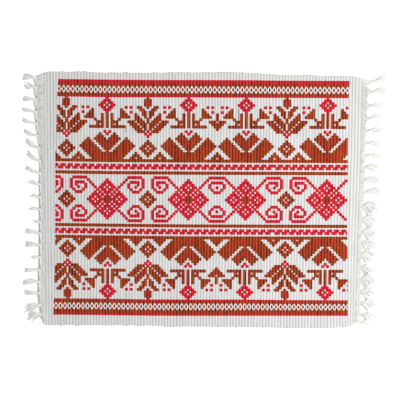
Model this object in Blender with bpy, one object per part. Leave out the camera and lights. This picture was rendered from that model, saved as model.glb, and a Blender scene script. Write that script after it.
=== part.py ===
"""Ribbed cotton table runner that lies flat, with tied bunches of fringe at both short ends.

The thick weft runs across the width, so each weft makes one rib. At both ends the warp leaves
the last rib as a smooth band and is gathered into bunches, each tied near its root.
Lengths are in metres: +X runs along the runner, +Y across it and +Z up from the floor.
"""

import bmesh
import bpy
import numpy as np


def columns(names, rows):
    """Name the columns of a short table, each as one array."""
    return dict(zip(names.split(), np.array(rows, dtype=float).T))


# Cloth
RIB_COUNT = 104
CLOTH_THICKNESS = 0.0028
RIB_RELIEF = 0.0008
SELVEDGE_BULGE = 0.0007
CREST_START = 0.25
CREST_END = 0.75
CORNER_FLARE = 0.0025
FLARE_START = 0.80

# Where the two selvedges lie, from the left end to the right end
SELVEDGES = columns("x far near", [
    (-0.2216, 0.1748, -0.1720),
    (-0.2140, 0.1771, -0.1731),
    (-0.1590, 0.1771, -0.1733),
    (-0.1450, 0.1757, -0.1734),
    (-0.0700, 0.1757, -0.1736),
    (-0.0550, 0.1758, -0.1750),
    (0.0420, 0.1764, -0.1755),
    (0.0630, 0.1753, -0.1758),
    (0.0900, 0.1735, -0.1761),
    (0.1180, 0.1723, -0.1771),
    (0.1660, 0.1716, -0.1771),
    (0.1960, 0.1710, -0.1764),
    (0.2060, 0.1704, -0.1744),
    (0.2127, 0.1686, -0.1715),
])

# Where the first and last ribs lie, by their share of the way from the near to the far selvedge
RIB_ENDS = columns("share left right", [
    (0.00, -0.2202, 0.2070),
    (0.08, -0.2204, 0.2083),
    (0.35, -0.2212, 0.2108),
    (0.70, -0.2222, 0.2152),
    (1.00, -0.2230, 0.2168),
])

# Fringe
STRANDS = 5
PIECE_GAP = 0.0004
BAND_THICKNESS = 0.0018
ROOT_MARGIN = 0.0005
GATHER_BEND = 0.35
GATHER_WIDTH = 0.25
KNOT_HALF_WIDTH = 0.0013
KNOT_HEIGHT = 0.0024
TIP_HEIGHT = 0.0014
STRAND_FILL = 0.68
CURVED_BOW = 0.0025
STRAIGHT_STEPS = 2
CURVED_STEPS = 4
STRAND_LENGTHS = (1.00, 0.93, 1.03, 0.95, 1.01, 0.90, 0.98)

# Outer edge of each smooth band and the line of its knots
END_LINES = columns("y left_band left_knot right_band right_knot", [
    (-0.172, -0.2250, -0.2270, 0.2115, 0.2185),
    (-0.158, -0.2256, -0.2278, 0.2125, 0.2218),
    (-0.130, -0.2290, -0.2310, 0.2135, 0.2198),
    (-0.095, -0.2272, -0.2292, 0.2145, 0.2190),
    (-0.025, -0.2270, -0.2290, 0.2170, 0.2216),
    (0.037, -0.2272, -0.2292, 0.2200, 0.2246),
    (0.073, -0.2296, -0.2318, 0.2212, 0.2272),
    (0.107, -0.2345, -0.2370, 0.2225, 0.2290),
    (0.130, -0.2350, -0.2374, 0.2240, 0.2305),
    (0.150, -0.2348, -0.2372, 0.2244, 0.2345),
    (0.175, -0.2340, -0.2370, 0.2244, 0.2400),
])

# Ends of each smooth band, against the last rib (inner) and at the gathers (outer)
LEFT_BAND = {"inner_far": 0.1743, "outer_far": 0.1714, "inner_near": -0.1714, "outer_near": -0.1630}
RIGHT_BAND = {"inner_far": 0.1681, "outer_far": 0.1665, "inner_near": -0.1710, "outer_near": -0.1700}

# One row for each bunch, from the far corner to the near one: where its knot is, how far its tuft
# reaches out from the knot and sideways, half its width at the tips and how far it bows sideways
LEFT_BUNCHES = columns("knot_y reach lift spread bow", [
    (0.1699, 0.0150, 0.0000, 0.0042, 0.0000),
    (0.1569, 0.0128, 0.0012, 0.0046, 0.0000),
    (0.1395, 0.0138, 0.0010, 0.0030, 0.0000),
    (0.1230, 0.0150, 0.0026, 0.0026, 0.0000),
    (0.1067, 0.0152, 0.0046, 0.0026, -0.0010),
    (0.0894, 0.0162, 0.0066, 0.0028, -0.0010),
    (0.0731, 0.0154, 0.0092, 0.0034, -0.0012),
    (0.0551, 0.0152, 0.0096, 0.0042, -0.0015),
    (0.0371, 0.0185, 0.0075, 0.0024, -0.0012),
    (0.0214, 0.0165, 0.0048, 0.0020, -0.0008),
    (0.0039, 0.0145, 0.0021, 0.0022, 0.0000),
    (-0.0132, 0.0150, 0.0018, 0.0022, 0.0000),
    (-0.0302, 0.0085, 0.0005, 0.0020, 0.0000),
    (-0.0461, 0.0194, 0.0030, 0.0040, 0.0006),
    (-0.0624, 0.0194, 0.0008, 0.0040, 0.0006),
    (-0.0793, 0.0131, 0.0003, 0.0020, 0.0000),
    (-0.0970, 0.0194, -0.0005, 0.0032, 0.0000),
    (-0.1133, 0.0205, -0.0012, 0.0038, 0.0004),
    (-0.1291, 0.0188, 0.0006, 0.0034, 0.0000),
    (-0.1451, 0.0205, -0.0058, 0.0050, 0.0030),
    (-0.1579, 0.0160, -0.0070, 0.0046, 0.0022),
])
RIGHT_BUNCHES = columns("knot_y reach lift spread bow", [
    (0.1651, 0.0138, 0.0044, 0.0030, 0.0008),
    (0.1497, 0.0181, 0.0018, 0.0026, 0.0010),
    (0.1305, 0.0174, 0.0008, 0.0032, 0.0000),
    (0.1128, 0.0138, 0.0046, 0.0022, 0.0000),
    (0.0962, 0.0170, 0.0004, 0.0026, 0.0006),
    (0.0789, 0.0177, -0.0003, 0.0030, 0.0004),
    (0.0620, 0.0190, -0.0008, 0.0026, 0.0006),
    (0.0464, 0.0160, -0.0050, 0.0034, 0.0040),
    (0.0291, 0.0180, -0.0041, 0.0040, 0.0030),
    (0.0111, 0.0200, 0.0025, 0.0036, 0.0000),
    (-0.0071, 0.0146, -0.0116, 0.0056, 0.0080),
    (-0.0248, 0.0132, -0.0112, 0.0048, 0.0076),
    (-0.0414, 0.0124, -0.0080, 0.0040, 0.0060),
    (-0.0580, 0.0132, -0.0086, 0.0042, 0.0065),
    (-0.0735, 0.0114, -0.0104, 0.0040, 0.0060),
    (-0.0919, 0.0104, -0.0096, 0.0036, 0.0054),
    (-0.1074, 0.0134, -0.0110, 0.0046, 0.0070),
    (-0.1247, 0.0140, -0.0040, 0.0034, 0.0034),
    (-0.1410, 0.0122, -0.0078, 0.0044, 0.0056),
    (-0.1572, 0.0100, -0.0044, 0.0034, 0.0030),
    (-0.1685, 0.0082, -0.0030, 0.0024, 0.0015),
])


class Body:
    """Points and faces of one closed solid, added piece by piece."""

    def __init__(self):
        self.points = []
        self.faces = []

    def add(self, plan, heights):
        """Add points given by their plan positions and heights, and return their numbers."""
        first = len(self.points)
        plan = np.reshape(plan, (-1, 2))
        heights = np.broadcast_to(heights, len(plan))
        self.points.extend(np.column_stack((plan, heights)).tolist())
        return list(range(first, len(self.points)))

    def tube(self, loop, next_loop):
        """Join two closed loops of the same length with four-sided faces."""
        for i, start in enumerate(loop):
            j = (i + 1) % len(loop)
            self.faces.append((start, loop[j], next_loop[j], next_loop[i]))

    def wall(self, line, next_line):
        """Join two open lines of the same length with four-sided faces."""
        for i in range(len(line) - 1):
            self.faces.append((line[i], line[i + 1], next_line[i + 1], next_line[i]))

    def make(self, name, material):
        """Turn the points and faces into an object whose faces point outwards."""
        mesh = bpy.data.meshes.new(name)
        mesh.from_pydata(self.points, [], self.faces)
        shell = bmesh.new()
        shell.from_mesh(mesh)
        bmesh.ops.recalc_face_normals(shell, faces=shell.faces)
        shell.to_mesh(mesh)
        shell.free()
        mesh.materials.append(material)
        thing = bpy.data.objects.new(name, mesh)
        bpy.context.scene.collection.objects.link(thing)
        return thing


def cotton(name, colour, roughness):
    """Plain matt cotton of one colour."""
    material = bpy.data.materials.new(name)
    material.use_nodes = True
    shader = material.node_tree.nodes["Principled BSDF"]
    shader.inputs["Base Color"].default_value = (*colour, 1.0)
    shader.inputs["Roughness"].default_value = roughness
    shader.inputs["Metallic"].default_value = 0.0
    material.diffuse_color = (*colour, 1.0)
    return material


def mix(start, end, share):
    """Go the given share of the way from start to end."""
    return start + (end - start) * share


def cloth_plan(along, across):
    """Plan position of a point of the cloth, by its shares of the length and of the width."""
    left = np.interp(across, RIB_ENDS["share"], RIB_ENDS["left"])
    right = np.interp(across, RIB_ENDS["share"], RIB_ENDS["right"])
    lean = np.clip((along - FLARE_START) / (1.0 - FLARE_START), 0.0, 1.0)
    x = mix(left, right, along) + CORNER_FLARE * np.sin(np.pi * lean) * (1.0 - across) ** 4
    straight_x = mix(SELVEDGES["x"][0], SELVEDGES["x"][-1], along)
    far = np.interp(straight_x, SELVEDGES["x"], SELVEDGES["far"])
    near = np.interp(straight_x, SELVEDGES["x"], SELVEDGES["near"])
    return np.stack((x, mix(near, far, across)), axis=-1)


def rib_columns():
    """Shares of the length, and crest heights from 0 to 1, at the points of the rib profile."""
    ribs = np.arange(RIB_COUNT)[:, None]
    along = ((ribs + np.array((0.0, CREST_START, CREST_END))) / RIB_COUNT).ravel()
    crest = np.tile((0.0, 1.0, 1.0), RIB_COUNT)
    return np.append(along, 1.0), np.append(crest, 0.0)


def make_cloth(material):
    """The woven cloth: ribs on top, scalloped selvedges and a flat underside."""
    along, crest = rib_columns()
    across = RIB_ENDS["share"]
    plan = cloth_plan(along[:, None], across[None, :])
    plan[:, 0, 1] -= SELVEDGE_BULGE * crest
    plan[:, -1, 1] += SELVEDGE_BULGE * crest
    height = CLOTH_THICKNESS - RIB_RELIEF * (1.0 - crest)

    body = Body()
    top = [body.add(line, z) for line, z in zip(plan, height)]
    near = body.add(plan[:, 0], 0.0)
    far = body.add(plan[:, -1], 0.0)
    left = [near[0]] + body.add(plan[0, 1:-1], 0.0) + [far[0]]
    right = [near[-1]] + body.add(plan[-1, 1:-1], 0.0) + [far[-1]]
    for line, next_line in zip(top, top[1:]):
        body.wall(line, next_line)
    body.wall(near, [line[0] for line in top])
    body.wall(far, [line[-1] for line in top])
    body.wall(left, top[0])
    body.wall(right, top[-1])
    body.faces.append(near + right[1:-1] + far[::-1] + left[-2:0:-1])
    return body.make("cloth", material)


def unit(vector):
    """The vector at length 1."""
    return vector / np.linalg.norm(vector)


def sideways(direction):
    """The plan direction a quarter turn from the given one that points away from the viewer."""
    turned = np.array((-direction[1], direction[0]))
    return unit(turned if turned[1] > 0 else -turned)


def cross_loop(body, centre, half_width, height):
    """Two lines of points across a bunch, from far to near: one on the floor, one on its top."""
    y = centre[1] + np.linspace(half_width, -half_width, STRANDS + 1)
    plan = np.column_stack((np.full(len(y), centre[0]), y))
    return body.add(plan, 0.0), body.add(plan, height)


def add_strand(body, loop, curve, spread, length, steps):
    """Draw one strand out from its own piece of the knot's end face, along a bent curve."""
    start, control, tip = curve
    shares = np.arange(1, steps + 1) / steps
    shares[-1] = length
    for share in shares:
        centre = mix(mix(start, control, share), mix(control, tip, share), share)
        across = sideways(mix(control - start, tip - control, share))
        half_width = STRAND_FILL * mix(KNOT_HALF_WIDTH, spread, share) / STRANDS
        sides = np.array((centre + across * half_width, centre - across * half_width))
        floor = body.add(sides, 0.0)
        crown = body.add(sides, mix(KNOT_HEIGHT, TIP_HEIGHT, share))
        next_loop = [floor[0], floor[1], crown[1], crown[0]]
        body.tube(loop, next_loop)
        loop = next_loop
    body.faces.append(loop)


def add_tuft(body, tie, knot, bunch, outward, lengths):
    """Fan the strands of one bunch out from its knot to its tips."""
    tip = knot + np.array((outward * bunch["reach"], bunch["lift"]))
    control = mix(knot, tip, 0.5) + np.array((0.0, bunch["bow"]))
    knot_side = sideways(control - knot)
    tip_side = sideways(tip - control)
    steps = CURVED_STEPS if bunch["bow"] > CURVED_BOW else STRAIGHT_STEPS
    floor, crown = tie
    for slot, length in enumerate(lengths):
        offset = 1.0 - 2.0 * (slot + 0.5) / STRANDS
        curve = (
            knot + knot_side * offset * KNOT_HALF_WIDTH,
            control + unit(knot_side + tip_side) * offset * mix(KNOT_HALF_WIDTH, bunch["spread"], 0.5),
            tip + tip_side * offset * bunch["spread"],
        )
        end_face = [floor[slot], floor[slot + 1], crown[slot + 1], crown[slot]]
        add_strand(body, end_face, curve, bunch["spread"], length, steps)


def add_gather(body, root, root_centre, root_half_width, knot):
    """Gather the warp from its stretch of the band to the knot, and return the knot's end face."""
    middle = cross_loop(body, mix(root_centre, knot, GATHER_BEND),
                        mix(KNOT_HALF_WIDTH, root_half_width, GATHER_WIDTH),
                        mix(BAND_THICKNESS, KNOT_HEIGHT, GATHER_BEND))
    tie = cross_loop(body, knot, KNOT_HALF_WIDTH, KNOT_HEIGHT)
    for (floor, crown), (next_floor, next_crown) in zip((root, middle), (middle, tie)):
        body.tube(floor + crown[::-1], next_floor + next_crown[::-1])
    return tie


def make_fringe(name, side, band, bunches, material):
    """One end's fringe: a smooth band beside the last rib and the bunches gathered from it."""
    outward = -1.0 if side == "left" else 1.0
    end_plan = cloth_plan(0.0 if side == "left" else 1.0, RIB_ENDS["share"])

    def inner_points(outer_y):
        share = (outer_y - band["outer_far"]) / (band["outer_near"] - band["outer_far"])
        y = mix(band["inner_far"], band["inner_near"], share)
        return np.column_stack((np.interp(y, end_plan[:, 1], end_plan[:, 0]) + outward * PIECE_GAP, y))

    def outer_points(y):
        return np.column_stack((np.interp(y, END_LINES["y"], END_LINES[side + "_band"]), y))

    body = Body()
    pieces = []
    between = mix(bunches["knot_y"][1:], bunches["knot_y"][:-1], 0.5)
    firsts = np.append(band["outer_far"], between - ROOT_MARGIN)
    lasts = np.append(between + ROOT_MARGIN, band["outer_near"])
    for first, last in zip(firsts, lasts):
        inner = inner_points(np.array((first, last)))
        outer = outer_points(np.linspace(first, last, STRANDS + 1))
        pieces.append({
            "inner_floor": body.add(inner, 0.0), "inner_crown": body.add(inner, BAND_THICKNESS),
            "floor": body.add(outer, 0.0), "crown": body.add(outer, BAND_THICKNESS),
            "centre": outer.mean(axis=0)})

    for piece in pieces:
        body.faces.append(piece["inner_floor"] + piece["floor"][::-1])
        body.faces.append(piece["inner_crown"] + piece["crown"][::-1])
        body.wall(piece["inner_floor"], piece["inner_crown"])
    for piece, follower in zip(pieces, pieces[1:]):
        corners = [(piece[key][-1], follower[key][0])
                   for key in ("inner_floor", "floor", "crown", "inner_crown")]
        for line, next_line in zip(corners, corners[1:] + corners[:1]):
            body.wall(line, next_line)
    for piece, end in ((pieces[0], 0), (pieces[-1], -1)):
        body.faces.append([piece[key][end] for key in ("inner_floor", "floor", "crown", "inner_crown")])

    lengths = np.resize(STRAND_LENGTHS, (len(pieces), STRANDS))
    for number, piece in enumerate(pieces):
        bunch = {key: column[number] for key, column in bunches.items()}
        knot_x = np.interp(bunch["knot_y"], END_LINES["y"], END_LINES[side + "_knot"])
        knot = np.array((knot_x, bunch["knot_y"]))
        tie = add_gather(body, (piece["floor"], piece["crown"]), piece["centre"],
                         (firsts[number] - lasts[number]) / 2.0, knot)
        add_tuft(body, tie, knot, bunch, outward, lengths[number])
    return body.make(name, material)


def main():
    """Clear the scene and make the cloth and its two fringes."""
    for thing in list(bpy.data.objects):
        bpy.data.objects.remove(thing)
    make_cloth(cotton("ribbed_cotton", (0.82, 0.80, 0.76), 0.9))
    fringe_cotton = cotton("fringe_cotton", (0.86, 0.85, 0.80), 0.9)
    make_fringe("fringe_left", "left", LEFT_BAND, LEFT_BUNCHES, fringe_cotton)
    make_fringe("fringe_right", "right", RIGHT_BAND, RIGHT_BUNCHES, fringe_cotton.copy())


main()
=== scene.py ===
"""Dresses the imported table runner: ribbed cloth with printed bands, tied fringe and a plain stage.

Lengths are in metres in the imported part's frame: +X runs along the runner, +Y across it, +Z up.
Places on the print are read in pixels of the photograph, which PIXEL turns into metres.
"""

import math

import bpy
import numpy as np
from bpy.props import FloatProperty, FloatVectorProperty, IntProperty
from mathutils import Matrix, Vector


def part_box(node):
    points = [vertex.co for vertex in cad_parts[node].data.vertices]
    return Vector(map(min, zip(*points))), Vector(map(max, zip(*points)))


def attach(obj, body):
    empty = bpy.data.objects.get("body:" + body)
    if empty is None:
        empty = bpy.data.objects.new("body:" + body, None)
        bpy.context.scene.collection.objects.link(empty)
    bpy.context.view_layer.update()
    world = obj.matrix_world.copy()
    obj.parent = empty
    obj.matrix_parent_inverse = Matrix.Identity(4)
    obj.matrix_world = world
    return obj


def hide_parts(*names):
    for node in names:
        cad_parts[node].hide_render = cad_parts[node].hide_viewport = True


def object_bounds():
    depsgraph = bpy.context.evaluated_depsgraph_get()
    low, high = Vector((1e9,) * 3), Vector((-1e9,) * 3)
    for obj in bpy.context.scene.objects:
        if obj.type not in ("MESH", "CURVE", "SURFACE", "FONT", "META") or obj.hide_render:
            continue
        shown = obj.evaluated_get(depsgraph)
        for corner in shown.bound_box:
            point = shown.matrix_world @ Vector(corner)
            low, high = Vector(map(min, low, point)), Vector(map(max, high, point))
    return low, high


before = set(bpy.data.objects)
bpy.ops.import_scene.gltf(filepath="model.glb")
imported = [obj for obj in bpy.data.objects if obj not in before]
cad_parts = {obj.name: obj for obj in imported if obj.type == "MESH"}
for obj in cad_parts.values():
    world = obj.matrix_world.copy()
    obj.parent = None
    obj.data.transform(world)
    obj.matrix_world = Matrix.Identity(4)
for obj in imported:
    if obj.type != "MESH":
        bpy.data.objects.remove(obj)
CAD_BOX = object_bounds()

bl_info = {
    "name": "Fringed table runner",
    "version": (1, 0, 0),
    "blender": (4, 5, 0),
    "location": "3D View > Sidebar > Runner",
    "description": "Makes a ribbed cotton runner with printed bands, its tied fringe and a stage",
    "category": "Object",
}

# How pixels of the photograph lie in the frame
PIXEL = 0.001383
ORIGIN_PX = (204.75, 199.85)
PICTURE_PX = 400

# Seeds of the unevenness, and which way each fringe points
SEEDS = {"cloth": 11, "left": 5, "right": 8}
OUTWARD = {"left": -1.0, "right": 1.0}


def columns(names, rows):
    """Name the columns of a short table, each as one array."""
    return dict(zip(names.split(), np.array(rows, dtype=float).T))


def mix(start, end, share):
    """Go the given share of the way from start to end."""
    return start + (end - start) * share


def photo_x(x):
    """Column of the photograph, in pixels, at a place x."""
    return x / PIXEL + ORIGIN_PX[0]


# Cloth, nearly as in the part's source
CORNER_FLARE = 0.0040
FLARE_START = 0.80
# The selvedges are rounded over this distance, by lines that lie this far in on top and below
EDGE_ROUND = 0.0016
TOP_STEPS = (0.00015, 0.0005, 0.0010, EDGE_ROUND)
UNDER_STEPS = (0.0003, 0.0009, EDGE_ROUND)
# A crest is a sine to this power, and the grooves within so many ribs of an end are part filled
ARCH_POWER = 0.7
END_RIBS = 1.6
END_FILL = 0.60
# Unevenness: how far a groove strays as a share of a rib, how far a rib stands out at a selvedge
# at least and how much more, how much lower a crest is at most, how far the beat of the weft
# lowers it and at what three paces across, and how far the warp sways
GROOVE_STRAY = 0.07
BULGE = (0.0001, 0.0013)
CREST_LOSS = 0.2
BEAT_DEPTH = 0.045
BEAT_PACES = (140.0, 390.0, 830.0)
SWAY = 0.00016
SELVEDGES = columns("x far near", [
    (-0.2216, 0.1748, -0.1720),
    (-0.2140, 0.1771, -0.1731),
    (-0.1590, 0.1771, -0.1733),
    (-0.1450, 0.1757, -0.1734),
    (-0.0700, 0.1757, -0.1736),
    (-0.0550, 0.1758, -0.1750),
    (0.0420, 0.1764, -0.1755),
    (0.0630, 0.1753, -0.1758),
    (0.0900, 0.1735, -0.1761),
    (0.1180, 0.1723, -0.1771),
    (0.1660, 0.1716, -0.1771),
    (0.1960, 0.1710, -0.1764),
    (0.2060, 0.1704, -0.1744),
    (0.2127, 0.1686, -0.1715),
])
RIB_ENDS = columns("share left right", [
    (0.00, -0.2202, 0.2070),
    (0.08, -0.2204, 0.2083),
    (0.35, -0.2212, 0.2108),
    (0.70, -0.2222, 0.2152),
    (1.00, -0.2230, 0.2168),
])

# Print rows count up from the middle of the cloth, and print columns to the right from the
# first tree. Heights in the photograph of seven rows, at seven places along the runner. A line
# that is on no print row has the number NO_ROW.
NO_ROW = 99.0
ROW_NAMES = (49.6, 43.0, 38.0, 0.0, -38.0, -43.0, -49.6)
ROW_PLACES = columns("x far_edge far_line far_motif middle near_motif near_line near_edge", [
    (56.0, 78.8, 94.7, 106.2, 198.5, 288.2, 299.8, 314.7),
    (107.0, 79.5, 95.7, 107.2, 199.2, 288.9, 300.2, 315.2),
    (150.0, 79.9, 95.8, 107.4, 199.5, 289.7, 300.9, 315.8),
    (188.0, 79.9, 95.9, 107.5, 199.9, 290.0, 301.0, 315.9),
    (245.0, 80.1, 96.2, 107.8, 200.1, 290.1, 301.0, 315.9),
    (285.0, 80.6, 96.4, 107.8, 200.2, 290.3, 301.5, 315.9),
    (345.0, 80.8, 96.6, 108.1, 200.4, 290.3, 301.8, 315.9),
])
# Where column 0 is and how wide a column is, in rows from the near edge to the far one
COLUMN_PLACES = columns("row start pitch", [
    (-45.0, 67.75, 2.364),
    (-38.0, 67.40, 2.362),
    (-20.0, 67.50, 2.366),
    (-12.0, 67.05, 2.376),
    (-5.0, 66.75, 2.382),
    (14.0, 66.60, 2.391),
    (32.0, 66.55, 2.396),
    (39.0, 66.10, 2.404),
    (45.0, 66.50, 2.398),
])
# Where the print is cut off at its left and right ends
PRINT_ENDS = columns("row left right", [
    (-49.6, 53.1, 347.9),
    (-43.0, 53.7, 347.9),
    (-28.0, 54.7, 347.9),
    (-11.0, 55.1, 347.3),
    (0.0, 55.1, 347.8),
    (20.0, 55.2, 347.9),
    (28.0, 56.1, 348.2),
    (36.0, 56.8, 348.6),
    (43.0, 57.1, 349.0),
    (49.6, 58.1, 349.7),
])

# Charts of the half motifs: each row goes from the middle outwards, r rust, c crimson, w bare
BARE, RUST, CRIMSON = range(3)
INKS = {"r": RUST, "c": CRIMSON, "w": BARE}
TREE = {
    27: "r", 26: "rr", 25: "cr", 24: "cr", 23: "r..rr", 22: "..rr", 21: ".rr", 20: ".rr..r",
    19: ".r..rr", 18: "r..rrr", 17: "rwrrrwrrr", 16: "wrrrwrrr", 15: "wrrwrrr", 14: "wrwrrr",
    13: "c.rrr", 12: "wc", 11: "c", 9: "r", 8: "rr", 7: "wrr", 6: "cwrr", 5: "wrr",
    4: "rr...r", 3: "r...rrr", 2: "...rrwrr",
}
FLOWER = {
    27: "c", 26: "cc", 25: "wcc", 24: "rwcc", 23: "wcc.....c.c", 22: "cc....r",
    21: "c.....rr..c", 20: "r.r...rrr", 19: "r.r...rrrr", 18: "r.r..r", 17: "r.rrr",
    16: "r.rwr", 15: "r.rrrrrr", 13: "wc", 12: "c..r", 11: "..rrr", 10: "wrrcrr..r",
    9: "rrcrr..rrr", 8: "rcrr..rrrrr", 7: "crr..rrrcrrr", 6: "rr..rrrcrrr", 5: "r..rrrcrrr",
    4: "rrrrrcrrr", 3: "crrrcrrr", 2: "rcrcrrr",
}
SPROUT = {
    20: "r", 19: "r", 18: "r", 17: "wrrr", 16: "rrr", 15: "rr", 14: "r",
    4: "r", 3: "rr", 2: "wrr",
}
STAR = {
    8: "c.......c", 7: "cc.....c", 6: "wcc...c", 5: "cwcc.c", 4: "wccwc", 3: "ccwcwc",
    2: "cwcwccc", 1: "rcwccwcc", 0: "rrccwcwcc",
}
SCROLL = {
    9: "...cccccc", 8: "..c", 7: "..c.cccc", 6: "..c.c...c", 5: "..c..c..c", 4: "...c...c",
    3: "r...ccc", 2: "rr", 1: "wrr", 0: "cwrr",
}
EYE = {9: "cccc", 8: "....c", 7: "ccc..c", 6: "...c", 5: "c..c", 4: "..c", 3: "cc"}
# A motif that stands on the band's foot, one round the middle row, and the columns of both
MOTIFS = (
    (TREE, SCROLL, (0, 34, 92)),
    (FLOWER, STAR, (17, 51, 75, 109)),
    (SPROUT, EYE, (63,)),
)
RED_DOTS = (29, 39, 63)
RULE_ROWS = (11, 16)
WAVE_ROWS = (13, 14)
WAVE_JOIN = 87
BAND_FOOT = 15
BAND_ROWS = 42
COLUMN_RANGE = (-6, 120)

# Chain of the printed border, in rows and columns: its middle row, the half width and half
# height of a link and the power of its curve, and where the first link is and how far apart they
# are at the far and near side. Rust turns to crimson over the rows of OUTER_LINE, or this much
# farther out at the near side, and the border starts over those of INNER_LINE.
CHAIN_ROW = 45.55
CHAIN_SIZE = (0.70, 1.23)
CHAIN_POWER = 1.4
CHAIN_LINKS = {1: (-1.18, 1.9095), -1: (-4.985, 1.901)}
OUTER_LINE = (47.55, 48.15)
NEAR_OUTER = 0.45
INNER_LINE = (42.92, 43.04)
# Ink's share goes from one cell to the next over this part of a cell, and covers the cloth
# where it is over this edge
INK_RAMP = 0.5
INK_EDGE = 0.12

# Fringe, nearly as in the part's source
END_LINES = columns("y left_band left_knot right_band right_knot", [
    (-0.172, -0.2250, -0.2270, 0.2120, 0.2185),
    (-0.158, -0.2256, -0.2278, 0.2140, 0.2218),
    (-0.130, -0.2296, -0.2314, 0.2153, 0.2202),
    (-0.095, -0.2280, -0.2298, 0.2158, 0.2196),
    (-0.025, -0.2274, -0.2292, 0.2180, 0.2218),
    (0.037, -0.2274, -0.2292, 0.2212, 0.2248),
    (0.073, -0.2296, -0.2318, 0.2218, 0.2272),
    (0.107, -0.2345, -0.2370, 0.2230, 0.2290),
    (0.130, -0.2350, -0.2374, 0.2240, 0.2305),
    (0.150, -0.2348, -0.2372, 0.2244, 0.2345),
    (0.175, -0.2340, -0.2370, 0.2244, 0.2400),
])
BANDS = {
    "left": {"inner_far": 0.1743, "outer_far": 0.1714, "inner_near": -0.1714, "outer_near": -0.1630},
    "right": {"inner_far": 0.1681, "outer_far": 0.1665, "inner_near": -0.1710, "outer_near": -0.1700},
}
# One row for each bunch, from the far corner to the near one. It says where the knot is, how far
# out the tips reach and how far they lie from the knot across, how wide they fan, how far the
# bunch bows across, what share of its threads it has, how far they hang back under the bow, and
# how far they sweep up from below.
BUNCH_COLUMNS = "knot_y reach lift spread bow body hang sweep"
BUNCHES = {
    "left": columns(BUNCH_COLUMNS, [
        (0.1699, 0.0150, 0.0000, 0.0042, 0.0000, 1.0, 0.0, 0.4),
        (0.1569, 0.0128, 0.0012, 0.0046, 0.0000, 0.7, 0.0, 0.8),
        (0.1395, 0.0138, 0.0010, 0.0030, 0.0000, 1.0, 0.0, 1.0),
        (0.1230, 0.0150, 0.0026, 0.0026, 0.0000, 1.0, 0.0, 1.0),
        (0.1067, 0.0152, 0.0046, 0.0026, -0.0010, 1.0, 0.0, 1.0),
        (0.0894, 0.0162, 0.0066, 0.0028, -0.0010, 1.0, 0.0, 1.0),
        (0.0731, 0.0154, 0.0092, 0.0034, -0.0012, 1.0, 0.0, 1.0),
        (0.0551, 0.0152, 0.0096, 0.0042, -0.0015, 1.0, 0.0, 1.0),
        (0.0371, 0.0185, 0.0075, 0.0024, -0.0012, 1.0, 0.0, 1.0),
        (0.0214, 0.0165, 0.0048, 0.0020, -0.0008, 0.4, 0.0, 1.0),
        (0.0039, 0.0145, 0.0021, 0.0022, 0.0000, 0.5, 0.0, 1.0),
        (-0.0132, 0.0150, 0.0018, 0.0022, 0.0000, 0.5, 0.0, 1.0),
        (-0.0302, 0.0085, 0.0005, 0.0020, 0.0000, 0.4, 0.0, 1.0),
        (-0.0461, 0.0194, 0.0030, 0.0040, 0.0006, 1.0, 0.0, 1.0),
        (-0.0624, 0.0194, 0.0008, 0.0040, 0.0006, 0.9, 0.0, 1.0),
        (-0.0793, 0.0131, 0.0003, 0.0020, 0.0000, 0.5, 0.0, 1.0),
        (-0.0970, 0.0194, -0.0005, 0.0032, 0.0000, 0.8, 0.0, 1.0),
        (-0.1133, 0.0205, -0.0012, 0.0038, 0.0004, 0.9, 0.0, 1.0),
        (-0.1291, 0.0188, 0.0006, 0.0034, 0.0000, 1.0, 0.0, 1.0),
        (-0.1451, 0.0205, -0.0068, 0.0080, 0.0026, 1.0, 0.3, 0.6),
        (-0.1579, 0.0175, -0.0070, 0.0070, 0.0020, 1.0, 0.3, 0.3),
    ]),
    "right": columns(BUNCH_COLUMNS, [
        (0.1651, 0.0148, 0.0044, 0.0038, 0.0008, 1.0, 0.0, 0.0),
        (0.1497, 0.0181, 0.0018, 0.0036, 0.0010, 1.0, 0.0, 0.0),
        (0.1305, 0.0174, 0.0008, 0.0038, 0.0000, 1.0, 0.0, 0.1),
        (0.1128, 0.0138, 0.0046, 0.0030, 0.0000, 0.8, 0.0, 0.2),
        (0.0962, 0.0176, 0.0004, 0.0036, 0.0006, 1.0, 0.0, 0.4),
        (0.0789, 0.0180, -0.0003, 0.0038, 0.0004, 1.0, 0.0, 0.5),
        (0.0620, 0.0190, -0.0008, 0.0038, 0.0006, 1.0, 0.0, 0.6),
        (0.0464, 0.0175, -0.0050, 0.0052, 0.0040, 1.0, 0.5, 0.7),
        (0.0291, 0.0195, -0.0041, 0.0058, 0.0030, 1.0, 0.5, 0.8),
        (0.0111, 0.0200, 0.0020, 0.0050, 0.0000, 1.0, 0.0, 0.8),
        (-0.0071, 0.0185, -0.0136, 0.0062, 0.0100, 1.0, 0.9, 0.8),
        (-0.0248, 0.0170, -0.0128, 0.0056, 0.0090, 1.0, 0.9, 0.8),
        (-0.0414, 0.0165, -0.0118, 0.0054, 0.0080, 1.0, 0.9, 0.8),
        (-0.0580, 0.0170, -0.0118, 0.0054, 0.0080, 1.0, 0.9, 0.8),
        (-0.0735, 0.0155, -0.0120, 0.0052, 0.0080, 1.0, 0.9, 0.8),
        (-0.0919, 0.0148, -0.0108, 0.0050, 0.0070, 1.0, 0.9, 0.8),
        (-0.1074, 0.0170, -0.0122, 0.0056, 0.0084, 1.0, 0.9, 0.8),
        (-0.1247, 0.0170, -0.0100, 0.0054, 0.0070, 1.0, 0.8, 0.8),
        (-0.1410, 0.0162, -0.0110, 0.0054, 0.0072, 1.0, 0.9, 0.8),
        (-0.1572, 0.0140, -0.0080, 0.0048, 0.0048, 1.0, 0.8, 0.6),
        (-0.1685, 0.0115, -0.0045, 0.0034, 0.0022, 1.0, 0.4, 0.3),
    ]),
}
# Bunches of the right fringe, from the far corner, whose tie shows, and the tie's radius
TIED = 8
TIE_RADIUS = 0.00022
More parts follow.
